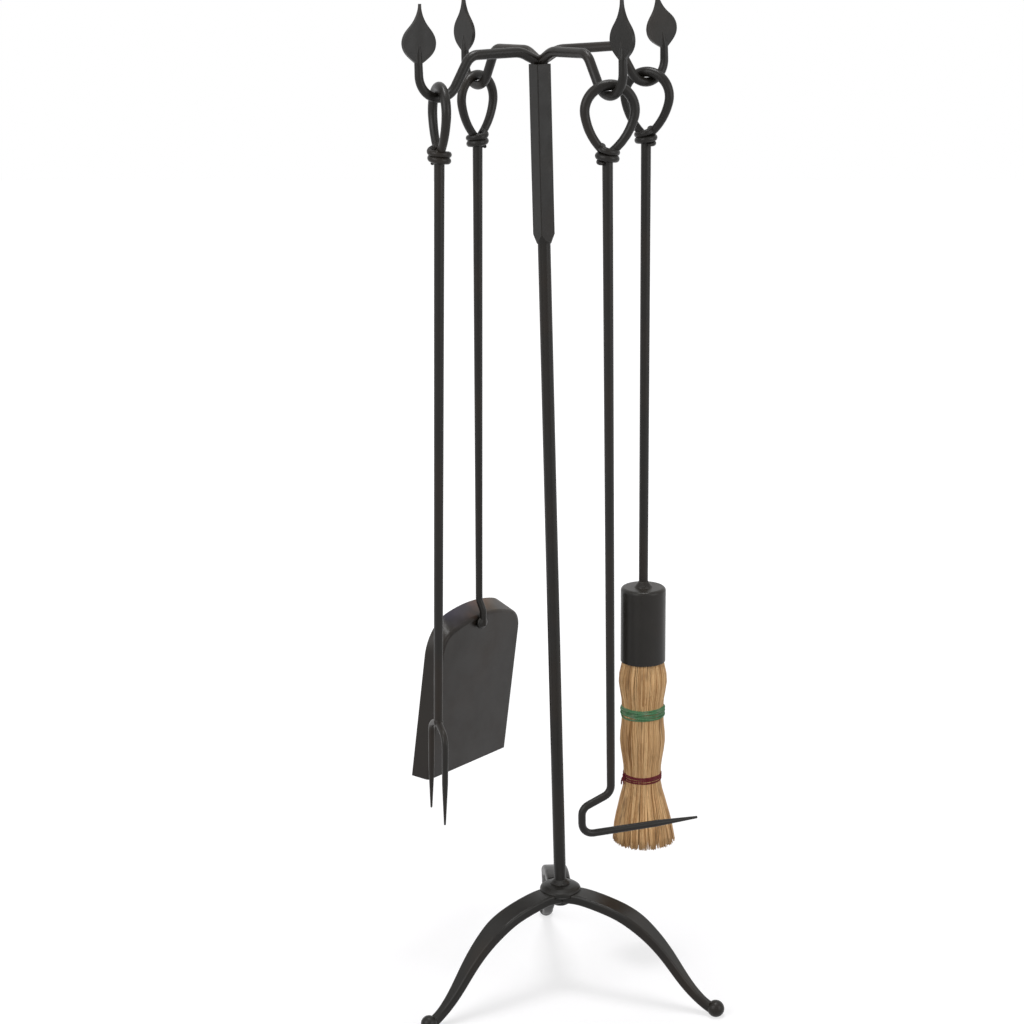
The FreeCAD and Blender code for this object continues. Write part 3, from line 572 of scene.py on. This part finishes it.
def build_core(line, half, top, material):
    """Painted shade: a dark tube inside the bundle, just under the stalks."""
    bottom = line.low + 12.0 * MM
    heights = [top + (bottom - top) * step / CORE_STEPS for step in range(CORE_STEPS + 1)]
    radii = [max(line.radius(height) * 0.93 - 1.3 * half, 2.0 * MM) for height in heights]
    radii[-1] *= 0.8
    tubes = TubeMesh()
    tubes.add([line.point(height, 0.0, 0.0) for height in heights], radii, CORE_SIDES)
    return tubes.build("straw_core", material)


def build_straw(settings, material, deep):
    """Separate stalks over a core darkened with painted shade."""
    line = BroomLine(settings)
    rng = random.Random(STRAW_SEED)
    top = line.ferrule_low + INSIDE_FERRULE
    tubes = TubeMesh()
    lay_outer_stalks(tubes, line, settings, rng, top)
    fill_spread_end(tubes, line, settings, rng)
    straw = tubes.build("straw_stalks", material)
    return straw, build_core(line, settings.stalk_width / 2.0, top, deep)


def twine_path(line, centre, lift, tilt, wobble, phase):
    """One turn of twine: nearly level, a little slanted, with a slow wobble."""
    path = []
    for step in range(TWINE_STEPS):
        angle = FULL_TURN * step / TWINE_STEPS
        height = centre + tilt * math.cos(angle - phase) + wobble * math.sin(3.0 * angle + 2.0 * phase)
        path.append(line.point(height, angle, line.radius(height) + lift))
    return path


def add_strand(tubes, path, radius, turns, closed=True):
    """Two plies twisted round each other along a path."""
    count = len(path)
    for ply in (0.0, math.pi):
        wound = []
        for i, here in enumerate(path):
            after = path[(i + 1) % count] if closed else path[min(i + 1, count - 1)]
            before = path[i - 1] if closed else path[max(i - 1, 0)]
            along = (after - before).normalized()
            up = (UP - along * UP.dot(along)).normalized()
            out = along.cross(up)
            angle = FULL_TURN * turns * i / count + ply
            wound.append(here + (up * math.cos(angle) + out * math.sin(angle)) * radius * 0.48)
        tubes.add(wound, [radius * 0.58] * count, 6, closed)


def build_green(settings, material):
    """Five slanted turns, and three steeper ones that cross over them."""
    line = BroomLine(settings)
    tubes = TubeMesh()
    low, high = line.green
    middle = (low + high) / 2.0
    radius = settings.twine / 2.0
    rng = random.Random(GREEN_SEED)
    for turns, lift in ((GREEN_TURNS, radius * 0.05), (GREEN_CROSSINGS, radius * 0.9)):
        for offset, tilt, phase in turns:
            wobble = rng.uniform(0.1, 0.35) * MM
            path = twine_path(line, middle + offset * MM, lift, tilt * MM, wobble, phase)
            add_strand(tubes, path, radius, 34)
    return tubes.build("green_twine", material)


def build_maroon(settings, material):
    """Four turns, with a small knot on the left and its two cut tails."""
    line = BroomLine(settings)
    tubes = TubeMesh()
    low, high = line.maroon
    middle = (low + high) / 2.0
    radius = settings.twine / 2.0 * 0.95
    for offset, tilt, phase in MAROON_TURNS:
        path = twine_path(line, middle + offset * MM, radius * 0.05, tilt * MM, 0.12 * MM, phase)
        add_strand(tubes, path, radius, 32)
    centre = line.point(middle, KNOT_ANGLE, line.radius(middle) + radius * 2.2)
    out = (centre - line.point(middle, 0.0, 0.0)).normalized()
    across = UP.cross(out)
    loop = []
    for step in range(40):
        angle = FULL_TURN * step / 40.0
        loop.append(centre + across * (math.cos(angle) + 0.4 * math.cos(2.0 * angle)) * 1.3 * MM
                    + UP * math.sin(angle) * 2.5 * MM
                    + out * math.sin(2.0 * angle) * 0.5 * MM)
    add_strand(tubes, loop, radius * 0.85, 8)
    for side, drop in ((-1.0, 7.0), (1.0, 5.0)):
        tail = []
        for step in range(12):
            share = step / 11.0
            tail.append(centre + across * side * (0.6 + 2.2 * share) * MM
                        - UP * drop * share * MM
                        + out * (0.6 + 1.6 * share * (1.0 - share)) * MM)
        add_strand(tubes, tail, radius * 0.8, 2, closed=False)
    return tubes.build("maroon_twine", material)


def build_wrap(tool, material):
    """Drawn-out tail of the bar: off the leg of the eye, across the front and twice round the rod."""
    low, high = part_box(tool + "_wrap")
    centre = (low + high) / 2.0
    joint = next(j for j in frame["joints"] if j["child"] == tool)
    across = Vector(joint["axis"])
    across = Vector((across.x, across.y, 0.0)).normalized()
    front = Vector((across.y, -across.x, 0.0))
    if front.y > 0.0:
        front = -front
    path = []
    radii = []
    for step in range(WRAP_STEPS + 1):
        share = step / WRAP_STEPS
        angle = FULL_TURN * WRAP_TURNS * share
        out = smooth_between(WRAP_REACH, share) * MM
        drop = smooth_between(WRAP_DIP, share) * MM + WRAP_DROP * share
        path.append(Vector((centre.x, centre.y, high.z + WRAP_RISE - drop))
                    + across * (out * math.cos(angle)) + front * (out * math.sin(angle)))
        radii.append(smooth_between(WRAP_RADIUS, share) * MM)
    tubes = TubeMesh()
    tubes.add(path, radii, 16)
    return tubes.build(tool + "_tail_wrap", material)


# ---------------------------------------------------------------- operators

class HEARTH_OT_finish_steel(bpy.types.Operator):
    """Blackened, waxed finish for the forged bars of the stand and the tools."""

    bl_idname = "hearth.finish_steel"
    bl_label = "Finish forged steel"

    def execute(self, context):
        finish = context.scene.hearth_finish
        steel = metal_material("Forged steel", finish.steel, finish.steel_worn, finish.scale_brown,
                               dent_size=110.0, grain_size=1100.0, wear=0.8, bump=0.30)
        paint(STEEL_NODES, steel)
        for tool in TOOLS:
            piece = build_wrap(tool, steel)
            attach(piece, tool)
            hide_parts(tool + "_wrap")
        return {"FINISHED"}


class HEARTH_OT_finish_welds(bpy.types.Operator):
    """Rougher, slightly brighter finish for the weld beads."""

    bl_idname = "hearth.finish_welds"
    bl_label = "Finish welds"

    def execute(self, context):
        finish = context.scene.hearth_finish
        bead = metal_material("Weld bead", finish.steel, finish.steel_worn, finish.scale_brown,
                              dent_size=420.0, grain_size=1500.0, wear=1.0, bump=0.9)
        paint(WELD_NODES, bead)
        wire = metal_material("Binding wire", WIRE_GREY, WIRE_BRIGHT, WIRE_RUST,
                              dent_size=600.0, grain_size=2500.0, wear=0.4, bump=0.15)
        paint(("broom_inner_wire",), wire)
        return {"FINISHED"}


class HEARTH_OT_finish_pan(bpy.types.Operator):
    """Sheet steel of the pan, with temper colours along its back wall."""

    bl_idname = "hearth.finish_pan"
    bl_label = "Finish shovel pan"

    def execute(self, context):
        finish = context.scene.hearth_finish
        sheet = metal_material("Pan sheet", SHEET_GREY, SHEET_WORN, finish.scale_brown,
                               dent_size=55.0, grain_size=1300.0, wear=1.0, bump=0.16, tint=heat_tint)
        paint(("shovel_pan",), sheet)
        return {"FINISHED"}


class HEARTH_OT_finish_ferrule(bpy.types.Operator):
    """Smooth blackened tube of the broom's ferrule."""

    bl_idname = "hearth.finish_ferrule"
    bl_label = "Finish ferrule"

    def execute(self, context):
        finish = context.scene.hearth_finish
        tube = metal_material("Ferrule tube", FERRULE_GREY, FERRULE_WORN, finish.scale_brown,
                              dent_size=45.0, grain_size=1300.0, wear=0.7, bump=0.12)
        paint(("broom_ferrule",), tube)
        return {"FINISHED"}


class HEARTH_OT_bind_straw(bpy.types.Operator):
    """Bundle of broom corn, stalk by stalk."""

    bl_idname = "hearth.bind_straw"
    bl_label = "Bind straw"

    def execute(self, context):
        scene = context.scene
        stalks, core = build_straw(scene.hearth_broom, straw_material(scene.hearth_finish), core_material())
        for piece in (stalks, core):
            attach(piece, "broom")
        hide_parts("broom_straw")
        return {"FINISHED"}


class HEARTH_OT_wind_green(bpy.types.Operator):
    """Upper binding of green twine."""

    bl_idname = "hearth.wind_green"
    bl_label = "Wind green twine"

    def execute(self, context):
        scene = context.scene
        made = twine_material("Green twine", scene.hearth_finish.green, GREEN_FADED)
        piece = build_green(scene.hearth_broom, made)
        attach(piece, "broom")
        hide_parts("broom_twine_green")
        return {"FINISHED"}


class HEARTH_OT_wind_maroon(bpy.types.Operator):
    """Lower binding of maroon twine, with its knot."""

    bl_idname = "hearth.wind_maroon"
    bl_label = "Wind maroon twine"

    def execute(self, context):
        scene = context.scene
        made = twine_material("Maroon twine", scene.hearth_finish.maroon, MAROON_FADED)
        piece = build_maroon(scene.hearth_broom, made)
        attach(piece, "broom")
        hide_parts("broom_twine_maroon")
        return {"FINISHED"}


def seen_rays(graph):
    """1 for rays that show the background: to the eye, in a reflection or through glass."""
    rays = graph.add("ShaderNodeLightPath")
    seen = graph.math("MAXIMUM", rays.outputs["Is Camera Ray"], rays.outputs["Is Glossy Ray"])
    return graph.math("MAXIMUM", seen, rays.outputs["Is Transmission Ray"])


def floor_material():
    """Pale floor that shows white to the eye and keeps the soft shadow."""
    made = bpy.data.materials.new("Studio floor")
    made.use_nodes = True
    graph = Graph(made.node_tree)
    out = graph.add("ShaderNodeOutputMaterial")
    matt = graph.add("ShaderNodeBsdfDiffuse", {"Color": FLOOR_GREY})
    seen = seen_rays(graph)
    glow = graph.add("ShaderNodeEmission", {"Color": WHITE})
    place = graph.add("ShaderNodeTexCoord").outputs["Object"]
    reach = graph.add("ShaderNodeVectorMath", operation="LENGTH")
    graph.put(reach.inputs[0], place)
    level = graph.span(reach.outputs["Value"], 0.15, 1.6, 0.66, 0.97)
    graph.put(glow.inputs["Strength"], graph.math("MULTIPLY", seen, level))
    both = graph.add("ShaderNodeAddShader")
    graph.put(both.inputs[0], matt.outputs["BSDF"])
    graph.put(both.inputs[1], glow.outputs["Emission"])
    graph.put(out.inputs["Surface"], both.outputs["Shader"])
    return made


def add_floor(side):
    mesh = bpy.data.meshes.new("studio_floor")
    half = side / 2.0
    corners = [(-half, -half, 0.0), (half, -half, 0.0), (half, half, 0.0), (-half, half, 0.0)]
    mesh.from_pydata(corners, [], [(0, 1, 2, 3)])
    mesh.materials.append(floor_material())
    floor = bpy.data.objects.new("studio_floor", mesh)
    bpy.context.scene.collection.objects.link(floor)


def add_light(name, power):
    size, place, target = LIGHTS[name]
    lamp = bpy.data.lights.new(name, "AREA")
    lamp.energy = power
    lamp.shape = "RECTANGLE"
    lamp.size, lamp.size_y = size
    holder = bpy.data.objects.new(name, lamp)
    holder.location = place
    aim = Vector(target) - Vector(place)
    holder.rotation_euler = aim.to_track_quat("-Z", "Y").to_euler()
    bpy.context.scene.collection.objects.link(holder)


def add_camera(lens):
    data = bpy.data.cameras.new("camera")
    data.sensor_width = SENSOR_WIDTH
    data.lens = lens
    data.dof.use_dof = False
    level = math.cos(CAMERA_PITCH)
    forward = Vector((math.sin(CAMERA_YAW) * level, math.cos(CAMERA_YAW) * level, -math.sin(CAMERA_PITCH)))
    right = Vector((math.cos(CAMERA_YAW), -math.sin(CAMERA_YAW), 0.0))
    up = right.cross(forward)
    right, up = (right * math.cos(CAMERA_ROLL) + up * math.sin(CAMERA_ROLL),
                 up * math.cos(CAMERA_ROLL) - right * math.sin(CAMERA_ROLL))
    turned = Matrix((right, up, -forward)).transposed().to_4x4()
    camera = bpy.data.objects.new("camera", data)
    camera.matrix_world = Matrix.Translation(CAMERA_PLACE) @ turned
    bpy.context.scene.collection.objects.link(camera)
    bpy.context.scene.camera = camera


def set_world(ambient):
    world = bpy.data.worlds.new("Studio")
    world.use_nodes = True
    bpy.context.scene.world = world
    graph = Graph(world.node_tree)
    out = graph.add("ShaderNodeOutputWorld")
    seen = seen_rays(graph)
    back = graph.add("ShaderNodeBackground", {"Color": WHITE})
    graph.put(back.inputs["Strength"], graph.span(seen, 0.0, 1.0, ambient, 1.0))
    graph.put(out.inputs["Surface"], back.outputs["Background"])


class HEARTH_OT_stage(bpy.types.Operator):
    """Pale floor, soft studio light and the camera."""

    bl_idname = "hearth.stage"
    bl_label = "Set the stage"

    def execute(self, context):
        stage = context.scene.hearth_stage
        add_floor(stage.floor_size)
        add_light("key_light", stage.key_power)
        add_light("fill_light", stage.fill_power)
        add_light("top_light", stage.top_power)
        set_world(stage.ambient)
        add_camera(stage.lens)
        context.scene.view_settings.view_transform = "Standard"
        return {"FINISHED"}


class HEARTH_PT_panel(bpy.types.Panel):
    """Lists the steps that dress the tool set."""

    bl_idname = "HEARTH_PT_panel"
    bl_label = "Fireplace tool set"
    bl_space_type = "VIEW_3D"
    bl_region_type = "UI"
    bl_category = "Hearth"

    def draw(self, context):
        column = self.layout.column(align=True)
        for step in STEPS:
            column.operator(step.bl_idname)
        for group in (context.scene.hearth_finish, context.scene.hearth_broom, context.scene.hearth_stage):
            for name in group.__annotations__:
                self.layout.prop(group, name)


STEPS = (
    HEARTH_OT_finish_steel, HEARTH_OT_finish_welds, HEARTH_OT_finish_pan, HEARTH_OT_finish_ferrule,
    HEARTH_OT_bind_straw, HEARTH_OT_wind_green, HEARTH_OT_wind_maroon, HEARTH_OT_stage,
)
GROUPS = (("hearth_finish", HearthFinish), ("hearth_broom", HearthBroom), ("hearth_stage", HearthStage))


def register():
    for _, group in GROUPS:
        bpy.utils.register_class(group)
    for step in STEPS:
        bpy.utils.register_class(step)
    bpy.utils.register_class(HEARTH_PT_panel)
    for name, group in GROUPS:
        setattr(bpy.types.Scene, name, PointerProperty(type=group))


def unregister():
    for name, _ in GROUPS:
        delattr(bpy.types.Scene, name)
    bpy.utils.unregister_class(HEARTH_PT_panel)
    for step in reversed(STEPS):
        bpy.utils.unregister_class(step)
    for _, group in reversed(GROUPS):
        bpy.utils.unregister_class(group)


def main():
    register()
    bpy.ops.hearth.finish_steel()
    bpy.ops.hearth.finish_welds()
    bpy.ops.hearth.finish_pan()
    bpy.ops.hearth.finish_ferrule()
    bpy.ops.hearth.bind_straw()
    bpy.ops.hearth.wind_green()
    bpy.ops.hearth.wind_maroon()
    bpy.ops.hearth.stage()


if __name__ == "__main__":
    main()
